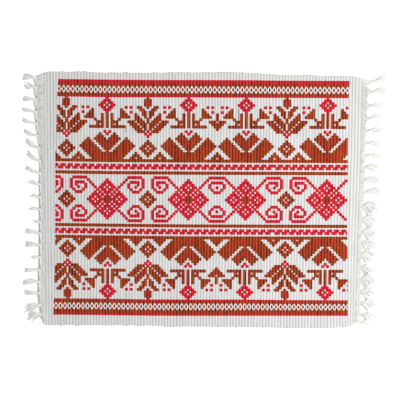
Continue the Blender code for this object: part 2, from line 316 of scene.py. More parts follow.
# Distance between bunches, and how far below its knot a swept bunch is gathered from
BUNCH_PITCH = 0.0165
SWEEP_SHIFT = 0.0075
# Heights of the band's threads in turn, how far they stray, and how deep in the cloth they start
BAND_LAYERS = (0.0021, 0.0016)
LAYER_STRAY = 0.0003
ROOT_DEPTH = 0.0012
# Where the near half's slot beside the band starts, and over what distance it opens
SLOT_START = 0.055
SLOT_FADE = 0.02
# Lower layer of straight threads: how many there are for each bunch, their radius, and how far
# they stop short of the band's edge at the far half and, where the slot is, at the near half
UNDER_COUNT = 20
UNDER_RADIUS = 0.00055
UNDER_INSETS = {"left": (0.0009, -0.0013), "right": (0.0, -0.0012)}
# A path has this many steps from one point to the next. A thread's thickness at stages of its
# path, where its tuft starts and how soon it is full, and how much thicker tufts are.
CURVE_STEPS = 4
THICKNESS = ((0, 2, 3, 4, 5, 6, 6.5, 7), (1.0, 1.1, 1.15, 1.1, 1.2, 1.05, 0.9, 0.3))
TUFT_START = 4.3
TUFT_FADE = 1.7
TUFT_SWELL = {"left": 0.25, "right": 0.55}
HANG_SWELL = 0.3
# Marks for the paint: a tuft's mark is 1, more by this much where it hangs, which paints the hanging threads
# paler and more even as painted light, and a tie's is 2
HANG_MARK = 0.3
FULL_HANG_MARK = 0.27
TIE_MARK = 2.0
# Strips of the flat map for the threads, the lower layer and the ties
MAP_STRIPS = ((0.0, 0.70), (0.70, 0.96), (0.96, 1.0))


class RunnerClothSettings(bpy.types.PropertyGroup):
    """Sizes and colours of the woven cloth and its print."""

    rib_count: IntProperty(name="Ribs", description="Weft ribs between the fringes",
                           default=104, min=8, max=400)
    rib_steps: IntProperty(name="Steps a rib", description="Columns of faces across one rib",
                           default=6, min=4, max=8)
    relief: FloatProperty(name="Rib relief", description="Depth of the grooves between ribs",
                          default=0.0008, min=0.0, max=0.002, unit="LENGTH", precision=4)
    thread_pitch: FloatProperty(name="Warp pitch", description="Distance between warp threads",
                                default=0.0008, min=0.0003, max=0.003, unit="LENGTH", precision=4)
    ground: FloatVectorProperty(name="Cotton", description="Colour of the unprinted cloth",
                                subtype="COLOR", default=(0.565, 0.565, 0.562), min=0.0, max=1.0)
    rust: FloatVectorProperty(name="Rust", description="Colour of the brown print",
                              subtype="COLOR", default=(0.355, 0.052, 0.012), min=0.0, max=1.0)
    crimson: FloatVectorProperty(name="Crimson", description="Colour of the red print",
                                 subtype="COLOR", default=(0.60, 0.014, 0.032), min=0.0, max=1.0)


class RunnerFringeSettings(bpy.types.PropertyGroup):
    """Sizes and colours of the warp threads in the two fringes."""

    threads: IntProperty(name="Threads", description="Threads in a full bunch",
                         default=22, min=4, max=40)
    thread_radius: FloatProperty(name="Thread radius", description="Half the thickness of a thread",
                                 default=0.00042, min=0.0001, max=0.002, unit="LENGTH", precision=5)
    knot_radius: FloatProperty(name="Knot radius", description="Half the width of a tied bunch",
                               default=0.0012, min=0.0005, max=0.005, unit="LENGTH", precision=4)
    # One cotton in both fringes: its colours are painted light and painted shade, lighter at the left
    # fringe, on the side away from the key light, and darker at the right, near it; the gathered band and
    # the tufts each have their own colour
    left_cotton: FloatVectorProperty(name="Left band", description="Colour of the left gathered threads",
                                     subtype="COLOR", default=(0.68, 0.68, 0.655), min=0.0, max=1.0)
    left_tips: FloatVectorProperty(name="Left tufts", description="Colour of the left loose ends",
                                   subtype="COLOR", default=(0.72, 0.72, 0.69), min=0.0, max=1.0)
    right_cotton: FloatVectorProperty(name="Right band", description="Colour of the right gathered threads",
                                      subtype="COLOR", default=(0.60, 0.60, 0.575), min=0.0, max=1.0)
    right_tips: FloatVectorProperty(name="Right tufts", description="Colour of the right loose ends",
                                    subtype="COLOR", default=(0.595, 0.595, 0.57), min=0.0, max=1.0)
    tie: FloatVectorProperty(name="Tie", description="Colour of the thread round each bunch",
                             subtype="COLOR", default=(0.58, 0.49, 0.43), min=0.0, max=1.0)


class RunnerStageSettings(bpy.types.PropertyGroup):
    """Floor, light and camera."""

    floor: FloatVectorProperty(name="Floor", description="Colour of the floor",
                               subtype="COLOR", default=(0.96, 0.96, 0.96), min=0.0, max=1.0)
    lens: FloatProperty(name="Lens", description="Focal length of the camera",
                        default=120.0, min=20.0, max=400.0, unit="CAMERA")
    key_power: FloatProperty(name="Key light", description="Power of the light at the right",
                             default=32.0, min=0.0, max=500.0, unit="POWER")
    fill_strength: FloatProperty(name="Fill", description="Strength of the light from all round",
                                 default=0.72, min=0.0, max=5.0)


class Paint:
    """One material's nodes. node() adds any node and returns the wanted output as a Value."""

    def __init__(self, name):
        self.material = bpy.data.materials.new(name)
        self.material.use_nodes = True
        self.tree = self.material.node_tree
        self.tree.nodes.clear()

    def node(self, kind, settings=None, inputs=None, output=0):
        """Add a node, set its settings first and then the values or links of its sockets."""
        made = self.tree.nodes.new(kind)
        for key, value in (settings or {}).items():
            setattr(made, key, value)
        for key, value in (inputs or {}).items():
            if isinstance(value, Value):
                self.tree.links.new(value.socket, made.inputs[key])
            else:
                made.inputs[key].default_value = value
        return Value(self, made.outputs[output]) if made.outputs else made

    def attribute(self, name):
        """The three numbers of a mesh attribute, as three Values."""
        vector = self.node("ShaderNodeAttribute", {"attribute_name": name}, output=1)
        return [self.node("ShaderNodeSeparateXYZ", None, {0: vector}, output=i) for i in range(3)]

    def blend(self, start, end, share):
        """Mix two colours, each a colour's numbers or a Value."""
        sides = [c if isinstance(c, Value) else (*c, 1.0) for c in (start, end)]
        settings = {"data_type": "RGBA", "clamp_factor": True}
        return self.node("ShaderNodeMix", settings, {0: share, 6: sides[0], 7: sides[1]}, output=2)

    def noise(self, place, scale, detail=2.0):
        """Cloudy noise from 0 to 1 at a place."""
        return self.node("ShaderNodeTexNoise", None, {"Vector": place, "Scale": scale, "Detail": detail})

    def finish(self, colour, height, distance, roughness, gloss=0.12):
        """Join the colour and the bump height to the surface, and return the material."""
        normal = self.node("ShaderNodeBump", None, {"Strength": 1.0, "Distance": distance, "Height": height})
        surface = self.node("ShaderNodeBsdfPrincipled", None, {
            "Base Color": colour, "Roughness": roughness, "Normal": normal, "Specular IOR Level": gloss})
        self.node("ShaderNodeOutputMaterial", None, {"Surface": surface})
        return self.material


class Value:
    """A number or vector in a node tree. Python arithmetic on it adds Math nodes."""

    def __init__(self, paint, socket):
        self.paint = paint
        self.socket = socket

    def join(self, operation, *others):
        """Add one Math node of this value and the others."""
        return self.paint.node("ShaderNodeMath", {"operation": operation}, dict(enumerate((self, *others))))

    def back(self, operation, other):
        """Add one Math node whose first value is the other one."""
        return self.paint.node("ShaderNodeMath", {"operation": operation}, {0: other, 1: self})

    def __add__(self, other):
        return self.join("ADD", other)

    __radd__ = __add__

    def __sub__(self, other):
        return self.join("SUBTRACT", other)

    def __rsub__(self, other):
        return self.back("SUBTRACT", other)

    def __mul__(self, other):
        return self.join("MULTIPLY", other)

    __rmul__ = __mul__

    def __truediv__(self, other):
        return self.join("DIVIDE", other)

    def __rtruediv__(self, other):
        return self.back("DIVIDE", other)

    def __pow__(self, other):
        return self.join("POWER", other)

    def __abs__(self):
        return self.join("ABSOLUTE")

    def over(self, low, high):
        """Rise smoothly from 0 at low to 1 at high."""
        return self.paint.node("ShaderNodeMapRange", {"interpolation_type": "SMOOTHSTEP"},
                               {"Value": self, "From Min": low, "From Max": high})

    def sawtooth(self):
        """The part after the decimal point."""
        return self.join("FRACT")


def show(name, points, quads, ends, material):
    """Make a mesh object of smooth quads, and of flat faces at its ends, which are lists."""
    mesh = bpy.data.meshes.new(name)
    mesh.from_pydata(points.tolist(), [], quads.tolist() + ends)
    smooth = np.arange(len(mesh.polygons)) < len(quads)
    mesh.polygons.foreach_set("use_smooth", smooth)
    mesh.materials.append(material)
    piece = bpy.data.objects.new(name, mesh)
    bpy.context.scene.collection.objects.link(piece)
    return piece


def keep(mesh, name, domain, vectors):
    """Store three numbers for each point or face corner as a mesh attribute."""
    stored = mesh.attributes.new(name, "FLOAT_VECTOR", domain)
    stored.data.foreach_set("vector", np.asarray(vectors, np.float32).ravel())


def keep_map(mesh, corners):
    """Store a flat map, one pair of numbers for each face corner."""
    layer = mesh.uv_layers.new(name="OFBake")
    layer.data.foreach_set("uv", np.asarray(corners, np.float32).ravel())


def cloth_place(along, across):
    """Place on the flat cloth: x goes between the lines of the first and last rib by the share
    along, with a flare at the near right corner, and y between the selvedges by the share across."""
    left = np.interp(across, RIB_ENDS["share"], RIB_ENDS["left"])
    right = np.interp(across, RIB_ENDS["share"], RIB_ENDS["right"])
    lean = np.clip((along - FLARE_START) / (1.0 - FLARE_START), 0.0, 1.0)
    x = mix(left, right, along) + CORNER_FLARE * np.sin(np.pi * lean ** 2) * (1.0 - across) ** 5
    near, far = selvedges(along)
    return x, mix(near, far, across)


def selvedges(along):
    """The near and the far selvedge's y at each share of the length."""
    x = mix(SELVEDGES["x"][0], SELVEDGES["x"][-1], along)
    return np.interp(x, SELVEDGES["x"], SELVEDGES["near"]), np.interp(x, SELVEDGES["x"], SELVEDGES["far"])


def row_height(row, x_px):
    """Photograph height of a print row at places along it, straight between the rows measured."""
    heights = np.array(list(ROW_PLACES.values())[1:])
    at_x = np.array([np.interp(x_px, ROW_PLACES["x"], line) for line in heights])
    upper = max(i for i, name in enumerate(ROW_NAMES[:-1]) if row <= name)
    share = (row - ROW_NAMES[upper]) / (ROW_NAMES[upper + 1] - ROW_NAMES[upper])
    return mix(at_x[upper], at_x[upper + 1], share)


def chart():
    """The print as whole cells of BARE, RUST or CRIMSON: a motif and its mirror image for each of
    its centres. Index [side][row][column]: the far and the near side, rows from the middle to the
    border, and columns from the first of COLUMN_RANGE."""
    first, last = COLUMN_RANGE
    cells = np.full((2, BAND_ROWS + 3, last - first), BARE)
    cells[:, BAND_ROWS + 1:] = CRIMSON

    def stamp(motif, centre, foot):
        for row, line in motif.items():
            for step, mark in enumerate(line):
                for column in (centre - step, centre + step):
                    if mark in INKS and first <= column < last:
                        cells[:, foot + row, column - first] = INKS[mark]

    cells[:, RULE_ROWS, :] = RUST
    joined = np.arange(first, last)
    joined = joined - (joined >= WAVE_JOIN)
    for side, (lower, upper) in enumerate((WAVE_ROWS, WAVE_ROWS[::-1])):
        cells[side, upper] = np.where(joined % 3 == 0, BARE, CRIMSON)
        cells[side, lower] = np.where(joined % 3 == 2, BARE, CRIMSON)
    for band_motif, middle_motif, centres in MOTIFS:
        for centre in centres:
            stamp(band_motif, centre, BAND_FOOT)
            stamp(middle_motif, centre, 0)
    for column in RED_DOTS:
        cells[1, BAND_FOOT + 2, column - first] = CRIMSON
    return cells


def cloth_rows():
    """Lines round the cloth's section: how far each is from an edge, which print row it is or how
    far across the margin, and whether it is on top (1), underneath (-1) or at an edge (0)."""
    rows = [("near", 0.0, 0)]
    rows += [("near", step, 1) for step in TOP_STEPS]
    rows += [("near_margin", share, 1) for share in (0.33, 0.67)]
    inner = np.arange(-BAND_ROWS - 1.5, BAND_ROWS + 2.0)
    rows += [("print", row, 1) for row in (ROW_NAMES[-1], *inner, ROW_NAMES[0])]
    rows += [("far_margin", share, 1) for share in (0.67, 0.33)]
    rows += [("far", step, 1) for step in TOP_STEPS[::-1]]
    rows += [("far", 0.0, 0)]
    rows += [("far", step, -1) for step in UNDER_STEPS]
    rows += [("under", share, -1) for share in (0.8, 0.5, 0.2)]
    rows += [("near", step, -1) for step in UNDER_STEPS[::-1]]
    return rows


def make_cloth(settings):
    """The cloth as one closed tube of lines round its section. Height over the middle of the cloth
    is half its thickness, less the groove depth between rib crests, which follow a sine to a power
    under one, times a quarter circle near the selvedges. Columns near the middle of a print cell
    move onto it, since the ink's share changes its slope there."""
    random = np.random.default_rng(SEEDS["cloth"])
    count = settings.rib_count
    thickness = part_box("cloth")[1].z
    strays = random.uniform(-GROOVE_STRAY, GROOVE_STRAY, count - 1)
    grooves = np.arange(count + 1) + np.r_[0.0, strays, 0.0]
    samples = np.arange(count * settings.rib_steps + 1) / settings.rib_steps
    start = np.interp(samples, np.arange(count + 1), grooves) / count
    bulge = BULGE[0] + BULGE[1] * random.random((2, count)) ** 1.5
    height = 1.0 - CREST_LOSS * random.random(count)
    beat = random.uniform(0.0, 2.0 * np.pi, (len(BEAT_PACES), count))
    rows = cloth_rows()

    def crest(along):
        phase = np.interp(along * count, grooves, np.arange(count + 1))
        rib = np.clip(phase.astype(int), 0, count - 1)
        arch = np.abs(np.sin(np.pi * phase)) ** ARCH_POWER
        fade = np.clip(END_RIBS - np.minimum(phase, count - phase), 0.0, 1.0)
        return np.maximum(arch, END_FILL * fade), rib, phase

    near, far = selvedges(start)
    arch, rib, _ = crest(start)
    near = near - bulge[0][rib] * arch
    far = far + bulge[1][rib] * arch
    x_px = photo_x(cloth_place(start, 0.5)[0])

    def row_y(row):
        return (ORIGIN_PX[1] - row_height(row, x_px)) * PIXEL

    near_print, far_print = row_y(ROW_NAMES[-1]), row_y(ROW_NAMES[0])
    lines = {
        "near": lambda value: near + value,
        "far": lambda value: far - value,
        "near_margin": lambda value: mix(near + EDGE_ROUND, near_print, value),
        "far_margin": lambda value: mix(far - EDGE_ROUND, far_print, value),
        "print": row_y,
        "under": lambda value: mix(near, far, value),
    }
    y = np.stack([lines[kind](value) for kind, value, _ in rows], axis=1)
    low, high = selvedges(start)
    across = (y - low[:, None]) / (high - low)[:, None]
    along = np.repeat(start[:, None], len(rows), axis=1)
    ends = np.sin(np.pi * along)

    def plan_x(along):
        sway = np.sin(3.1 * along * np.pi + 5.0 * across) + np.sin(11.0 * across + 17.0 * along)
        return cloth_place(along, across)[0] + SWAY * sway * ends

    printed = np.array([kind == "print" for kind, _, _ in rows])
    row_value = np.array([value if kind == "print" else NO_ROW for kind, value, _ in rows])
    origin = np.interp(row_value, COLUMN_PLACES["row"], COLUMN_PLACES["start"])
    pitch = np.interp(row_value, COLUMN_PLACES["row"], COLUMN_PLACES["pitch"])
    cut = np.array([np.interp(row_value, PRINT_ENDS["row"], PRINT_ENDS[end]) for end in ("left", "right")])
    place = photo_x(plan_x(along))
    cell = (place - origin) / pitch
    nearest = np.round(cell - 0.5)
    bends = nearest + 0.5 + np.where(cell - 0.5 < nearest, -1.0, 1.0) * INK_RAMP / 2.0
    target = origin + pitch * bends
    spacing = np.abs(np.gradient(place, axis=0)) / 2.0
    moved = (np.abs(place - target) < spacing) & printed
    length = (RIB_ENDS["right"] - RIB_ENDS["left"]).mean()
    along = along + np.where(moved, (target - place) * PIXEL / length, 0.0)
    along = np.clip(along, 0.0, 1.0)

    x = plan_x(along)
    arch, rib, phase = crest(along)
    sign = np.array([side for _, _, side in rows])
    away = np.array([value if kind in ("near", "far") else EDGE_ROUND for kind, value, _ in rows])
    rounding = np.sqrt(1.0 - (1.0 - np.clip(away / EDGE_ROUND, 0.0, 1.0)) ** 2)
    uneven = sum(np.sin(beat[i][rib] + y * pace) for i, pace in enumerate(BEAT_PACES))
    swell = height[rib] - BEAT_DEPTH * (uneven + 2.0)
    depth = thickness / 2.0 - settings.relief * (1.0 - arch * swell)
    z = thickness / 2.0 + sign * depth * rounding
    points = np.stack((x, y, z), axis=-1)

    rings, around = points.shape[:2]
    index = np.arange(rings * around).reshape(rings, around)
    right = np.roll(index, -1, axis=1)
    quads = np.stack((index[:-1], index[1:], right[1:], right[:-1]), axis=-1).reshape(-1, 4)
    caps = [index[0].tolist(), index[-1][::-1].tolist()]
    piece = show("runner_cloth", points.reshape(-1, 3), quads, caps, cloth_paint(settings))

    place = photo_x(x)
    u = (place - origin) / pitch
    far_link, near_link = [(u - CHAIN_LINKS[side][0]) / CHAIN_LINKS[side][1] for side in (1, -1)]
    link = np.where(row_value > 0, far_link, near_link)
    inside = np.minimum(place - cut[0], cut[1] - place)
    # The arch, stored third in weave, also sets the painted shade in the grooves between rib crests
    keep(piece.data, "weave", "POINT", np.stack((phase, y / settings.thread_pitch, arch), -1))
    keep(piece.data, "border", "POINT",
         np.stack((np.broadcast_to(np.abs(row_value), u.shape), link, inside), -1))
    rows_round = np.broadcast_to(row_value, u.shape).ravel()[quads]
    whole = np.broadcast_to(printed, u.shape).ravel()[quads].all(axis=1)
    for name, marks in corner_inks(u.ravel()[quads], rows_round, whole).items():
        keep(piece.data, name, "CORNER", np.vstack((marks.reshape(-1, 3), np.zeros((2 * around, 3)))))
    keep_map(piece.data, cloth_map(points, sign, quads))
    return piece


def corner_inks(u, rows, whole):
    """The ink at each corner of each face. In a face's own row of cells, and in the rows on its far
    and near side, each ink's share is level in a cell and goes straight to the next in a ramp."""
    first, last = COLUMN_RANGE
    cells = chart()
    middle = np.broadcast_to(rows.mean(axis=1, keepdims=True), rows.shape)
    own = np.round(middle).astype(int)
    spot = np.clip(u - first, 0.0, last - first - 1.001)
    left = spot.astype(int)
    share = np.clip((spot - left - 0.5) / INK_RAMP + 0.5, 0.0, 1.0)
    marks = {"rust": [], "crimson": []}
    for step in (0, 1, -1):
        row = np.clip(own + step, -BAND_ROWS - 2, BAND_ROWS + 2)
        line = cells[(row < 0).astype(int), np.abs(row)]
        sides = [np.take_along_axis(line, (left + i)[..., None], axis=-1)[..., 0] for i in (0, 1)]
        for ink, name in ((RUST, "rust"), (CRIMSON, "crimson")):
            marks[name].append(mix(1.0 * (sides[0] == ink), 1.0 * (sides[1] == ink), share) * whole[:, None])
    marks = {name: np.stack(lists, axis=-1) for name, lists in marks.items()}
    zero = np.zeros_like(u)
    marks["spot"] = np.stack((rows - own, zero, 1.0 * whole[:, None] + zero), axis=-1)
    return marks


def cloth_map(points, sign, quads):
    """Flat map of the cloth, from a point's share of the cloth's box: the top fills most of the
    square, the underside a strip below it and the two end faces thin strips between them."""
    around = points.shape[1]
    low, high = points.min(axis=(0, 1)), points.max(axis=(0, 1))
    share = ((points - low) / (high - low)).reshape(-1, 3)
    under = np.tile(sign < 0, len(points))[quads].any(axis=1)
    corner = share[quads]
    v = np.where(under[:, None], 0.005 + 0.155 * corner[..., 1], 0.20 + 0.795 * corner[..., 1])
    faces = np.stack((0.003 + 0.994 * corner[..., 0], v), axis=-1).reshape(-1, 2)
    ends = []
    for ring, base in ((share[:around], 0.168), (share[-around:][::-1], 0.182)):
        ends.append(np.stack((0.003 + 0.994 * ring[:, 1], base + 0.008 * ring[:, 2]), axis=-1))
    return np.vstack((faces, *ends))


def cloth_paint(settings):
    """Ribbed cotton: warp threads in relief, uneven yarn, painted shade in the grooves between rib crests,
    and the printed inks, with a painted light rim round their edges.
    """
    paint = Paint("ribbed_cotton_print")
    rib, thread, crest = paint.attribute("weave")
    row, link, inside = paint.attribute("border")
    over, _, whole = paint.attribute("spot")
    place = paint.node("ShaderNodeTexCoord", output="Object")
    fibre = paint.noise(place, 1400.0)
    yarn = paint.noise(paint.node("ShaderNodeVectorMath", {"operation": "MULTIPLY"},
                                  {0: place, 1: (1.0, 0.12, 1.0)}), 240.0)
    cloud = paint.noise(place, 18.0)
    step = (rib.join("FLOOR") * 0.5 + thread).sawtooth()
    bead = 1.0 - (step * 2.0 - 1.0) ** 2.0

    shares = []
    toward = ((abs(over) - 0.5) / INK_RAMP + 0.5).join("MAXIMUM", 0.0)
    for name in ("rust", "crimson"):
        own, far, near = paint.attribute(name)
        beside = near + (far - near) * over.join("GREATER_THAN", 0.0)
        shares.append(own + (beside - own) * toward)
    rust, crimson = shares
    ink_share = rust + crimson
    spread = (fibre - 0.5) * 0.2 + INK_EDGE
    field = (ink_share - spread).over(-0.08, 0.08)

    away = abs((link + 0.5).sawtooth() - 0.5) * 2.0
    up = abs(row - CHAIN_ROW)
    ring = (away / CHAIN_SIZE[0]) ** CHAIN_POWER + (up / CHAIN_SIZE[1]) ** CHAIN_POWER
    dash = (1.0 - up.over(0.16, 0.34)) * ring.over(0.55, 0.8)
    bare = (1.0 - abs(ring - 1.0).over(0.26, 0.52)).join("MAXIMUM", dash)
    near_side = paint.node("ShaderNodeSeparateXYZ", None, {0: place}, output=1).join("LESS_THAN", 0.0)
    outer = (row - (1.0 - away) * 0.9 + (yarn - 0.5) * 1.6 - near_side * NEAR_OUTER).over(*OUTER_LINE)
    border = (row + (yarn - 0.5) * 0.5).over(*INNER_LINE) * whole
    crimson_share = (crimson / ink_share.join("MAXIMUM", 0.01)).over(0.60, 0.90)
    crimson_share = crimson_share + (outer - crimson_share) * border
    printed = field * (1.0 - border * bare) * inside.over(-0.1, 0.1)
    # Painted light rim: the bare cloth is painted lighter in a thin line just round the edge of the ink
    painted_light_rim = (ink_share / INK_EDGE).join("MINIMUM", 1.0) * inside.over(-1.1, -0.1)

    lump = paint.noise(place, 520.0)
    # Painted shade: the colour is darker where a rib's crest is low, in the grooves, and lighter on the
    # crests; the yarn's tone also differs at random
    groove_shade_and_yarn_tone = crest ** 1.6 * 0.9 + (fibre - 0.5) * 0.4 + (yarn - 0.5) * 0.9 + (lump - 0.5) * 0.9
    ground = paint.blend([c * 0.70 for c in settings.ground], [c * 1.04 for c in settings.ground], groove_shade_and_yarn_tone)
    ground = paint.blend(ground, [c * 1.25 for c in settings.ground], painted_light_rim * 0.55)
    warm = paint.blend(ground, [c * w for c, w in zip(settings.ground, (1.0, 0.985, 0.96))], cloud * 0.4)
    # Both inks are darker in the grooves, partly because more ink lies there and partly as painted shade
    rust_ink = paint.blend([c * 0.12 for c in settings.rust], [c * 1.10 for c in settings.rust], groove_shade_and_yarn_tone)
    crimson_ink = paint.blend([c * 0.4 for c in settings.crimson], settings.crimson, groove_shade_and_yarn_tone)
    ink = paint.blend(rust_ink, crimson_ink, crimson_share)
    colour = paint.blend(warm, ink, printed)
    height = bead * 0.7 + fibre * 0.3
    return paint.finish(colour, height, 0.00022, 0.92)


def curve_through(points, steps):
    """Catmull-Rom curves: each stretch between two points is the cubic whose slope at a point is
    half the way from the point before to the point after. Points run along the second axis."""
    first, last = points[:, :1] * 2 - points[:, 1:2], points[:, -1:] * 2 - points[:, -2:-1]
    held = np.concatenate((first, points, last), axis=1)
    share = (np.arange(steps) / steps)[None, None, :, None]
    a, b, c, d = (held[:, i:held.shape[1] - 3 + i, None] for i in range(4))
    curve = 0.5 * (2 * b + (c - a) * share + (2 * a - 5 * b + 4 * c - d) * share ** 2
                   + (3 * b - a - 3 * c + d) * share ** 3)
    curve = curve.reshape(len(points), -1, 3)
    return np.concatenate((curve, points[:, -1:]), axis=1)


def tubes(paths, radii, sides, axis=(0.0, 0.0, 1.0)):
    """Round tubes along many paths: a ring of points at each step, square to the path, with its
    first side level. Returns points, quads and the faces that close the ends."""
    ahead = np.gradient(paths, axis=1)
    ahead /= np.linalg.norm(ahead, axis=2, keepdims=True)
    level = np.cross(ahead, axis)
    level /= np.linalg.norm(level, axis=2, keepdims=True)
    upward = np.cross(level, ahead)
    angle = 2.0 * np.pi * np.arange(sides) / sides
    ring = level[:, :, None] * np.cos(angle)[:, None] + upward[:, :, None] * np.sin(angle)[:, None]
    points = paths[:, :, None] + radii[:, :, None, None] * ring
    index = np.arange(points[..., 0].size).reshape(points.shape[:3])
    beside = np.roll(index, -1, axis=2)
    quads = np.stack((index[:, :-1], index[:, 1:], beside[:, 1:], beside[:, :-1]), axis=-1)
    return points, quads.reshape(-1, 4), np.concatenate((index[:, 0], index[:, -1, ::-1]))


def band_slot(y):
    """How far the near half's narrow slot between the band and its outermost threads is open."""
    return np.clip((SLOT_START - y) / SLOT_FADE, 0.0, 1.0)


def end_line(name, y):
    """Where a line that runs across an end is at y."""
    return np.interp(y, END_LINES["y"], END_LINES[name])


def band_edges(side, place, edge_y):
    """Where the band's threads leave the last rib, at a share of its length from the far end, and
    the x of its outer edge, where they are at edge_y."""
    end = np.full(len(RIB_ENDS["share"]), 0.0 if side == "left" else 1.0)
    end_x, end_y = cloth_place(end, RIB_ENDS["share"])
    rib_y = mix(BANDS[side]["inner_far"], BANDS[side]["inner_near"], place)
    return np.interp(rib_y, end_y, end_x), rib_y, end_line(side + "_band", edge_y)


def thread_paths(side, settings, random):
    """Paths of all threads of one fringe, and how far each one's bunch hangs back. A thread leaves the
    last rib, crosses the smooth band, gathers to its bunch's knot, straight or in a sweep along the
    band's edge, and fans out to its tip, which a hanging bunch bows over and down."""
    outward = OUTWARD[side]
    outer_far, outer_near = BANDS[side]["outer_far"], BANDS[side]["outer_near"]
    bunch = {key: column[:, None] for key, column in BUNCHES[side].items()}
    count = settings.threads
    knot_y = bunch["knot_y"]
    shift = SWEEP_SHIFT * mix(bunch["sweep"][1:], bunch["sweep"][:-1], 0.5)
    between = mix(knot_y[1:], knot_y[:-1], 0.5) - shift
    share = (np.arange(count) + 0.5) / count
    edge_y = mix(np.vstack(([[outer_far]], between)), np.vstack((between, [[outer_near]])), share)
    edge_y = edge_y + random.normal(0.0, 0.00012, (len(knot_y), count))
    place = (edge_y - outer_far) / (outer_near - outer_far)
    rib_x, rib_y, edge_x = band_edges(side, place, edge_y)
    knot_x = end_line(side + "_knot", knot_y)
    knot_radius = settings.knot_radius
    layer = np.where(np.arange(count) % 2 == 0, *BAND_LAYERS)
    layer = layer + random.uniform(-LAYER_STRAY, LAYER_STRAY, edge_y.shape)
    far_off = np.clip(np.abs(edge_y - knot_y) / BUNCH_PITCH, 0.0, 1.0)

    def point(x, y, z):
        return np.stack(np.broadcast_arrays(x, y, z), axis=-1)

    spot = (1.0 - 2.0 * share) * 0.85 + random.normal(0.0, 0.12, edge_y.shape)
    knot_z = knot_radius + 0.0001 + knot_radius * 0.75 * random.uniform(-1.0, 1.0, edge_y.shape)
    # Three points of each path, on the band, at its edge and before the knot, both ways
    bend = bunch["sweep"][..., None]
    width = edge_x - rib_x
    straight = (
        point(mix(rib_x, edge_x, 0.6), edge_y, layer),
        point(edge_x + outward * 0.0009, mix(edge_y, knot_y, 0.10), layer - 0.0002),
        point(mix(edge_x, knot_x, 0.42), mix(edge_y, knot_y, 0.55), 0.0014),
    )
    swept = (
        point(mix(rib_x, edge_x, 0.52), edge_y, layer - 0.0006 * band_slot(edge_y)),
        point(edge_x - width * (0.02 + 0.40 * (1.0 - far_off)), mix(edge_y, knot_y, 0.34),
              0.0007 + 0.0008 * far_off),
        point(edge_x - width * (0.10 * (1.0 - far_off) - 0.02), mix(edge_y, knot_y, 0.80), 0.0013),
    )
    # A hanging thread leaves the knot lower, and its tip comes back under the bow
    loose = np.clip(random.uniform(-0.2, 1.0, edge_y.shape), 0.0, 1.0)
    hang = bunch["hang"] * loose
    knot = point(knot_x - outward * 0.0035 * hang, knot_y + knot_radius * spot - 0.0050 * hang,
                 knot_z * (1.0 - 0.4 * hang))

    # Thin bunches are ragged, with threads of very different lengths
    length = bunch["reach"] * random.uniform(0.86, 1.06, edge_y.shape)
    length = length * np.where(bunch["body"] < 0.6, random.uniform(0.45, 1.1, edge_y.shape), 1.0)
    fan = spot + random.normal(0.0, 0.16, edge_y.shape)
    tip_x = knot_x + outward * (length * (1.0 - hang))
    tip_y = knot_y + bunch["lift"] * (1.0 + bunch["hang"] * (0.6 * loose - 0.5)) - 0.001 * hang
    tip_y = tip_y + bunch["spread"] * fan * (1.0 - 0.5 * bunch["hang"])
    middle_x = mix(knot_x, tip_x, 0.5) + outward * 0.0010 * hang
    middle_y = mix(knot_y, tip_y, 0.5) + bunch["bow"] * (0.62 - 0.55 * hang) + knot_radius * spot * 0.5
    middle_y = middle_y + bunch["spread"] * fan * 0.3 - 0.0030 * hang
    middle_z = 0.0010 + 0.0006 * random.uniform(-0.8, 1.0, edge_y.shape) * np.clip(bunch["body"], 0.5, 1.0)
    tip_z = settings.thread_radius * 0.4 + 0.0003 * random.random(edge_y.shape)
    points = np.stack((
        point(rib_x - outward * ROOT_DEPTH, rib_y, 0.0014),
        point(rib_x + outward * 0.0010, rib_y, layer + 0.0002),
        *(mix(plain, turned, bend) for plain, turned in zip(straight, swept)),
        knot,
        point(middle_x, middle_y, middle_z),
        point(tip_x, tip_y, tip_z),
    ), axis=2)
    kept = random.random(edge_y.shape) < 0.15 + 0.85 * bunch["body"]
    kept |= (np.arange(count) % 3 == 0)
    return points[kept], np.broadcast_to(bunch["hang"], kept.shape)[kept]


def under_paths(side, random):
    """Paths of the fringe's lower layer: straight threads side by side, from inside the last rib
    to near the band's edge, that sink towards the floor."""
    outward = OUTWARD[side]
    count = UNDER_COUNT * len(BUNCHES[side]["knot_y"])
    place = (np.arange(count) + 0.5) / count
    edge_y = mix(BANDS[side]["outer_far"], BANDS[side]["outer_near"], place)
    rib_x, rib_y, edge_x = band_edges(side, place, edge_y)
    inset = mix(*UNDER_INSETS[side], band_slot(edge_y))
    edge_x = edge_x + outward * (random.uniform(-0.0004, 0.0008, count) - inset)
    heights = random.uniform(0.0008, 0.0015, (3, count)) + np.array([[0.0004], [0.0002], [-0.0008]])
    heights = np.maximum(heights, UNDER_RADIUS + 0.00002)
    paths = np.stack([
        np.stack((mix(rib_x - outward * 0.001, edge_x, share), mix(rib_y, edge_y, share), height), axis=-1)
        for share, height in zip((0.0, 0.5, 1.0), heights)
    ], axis=1)
    return curve_through(paths, 2)


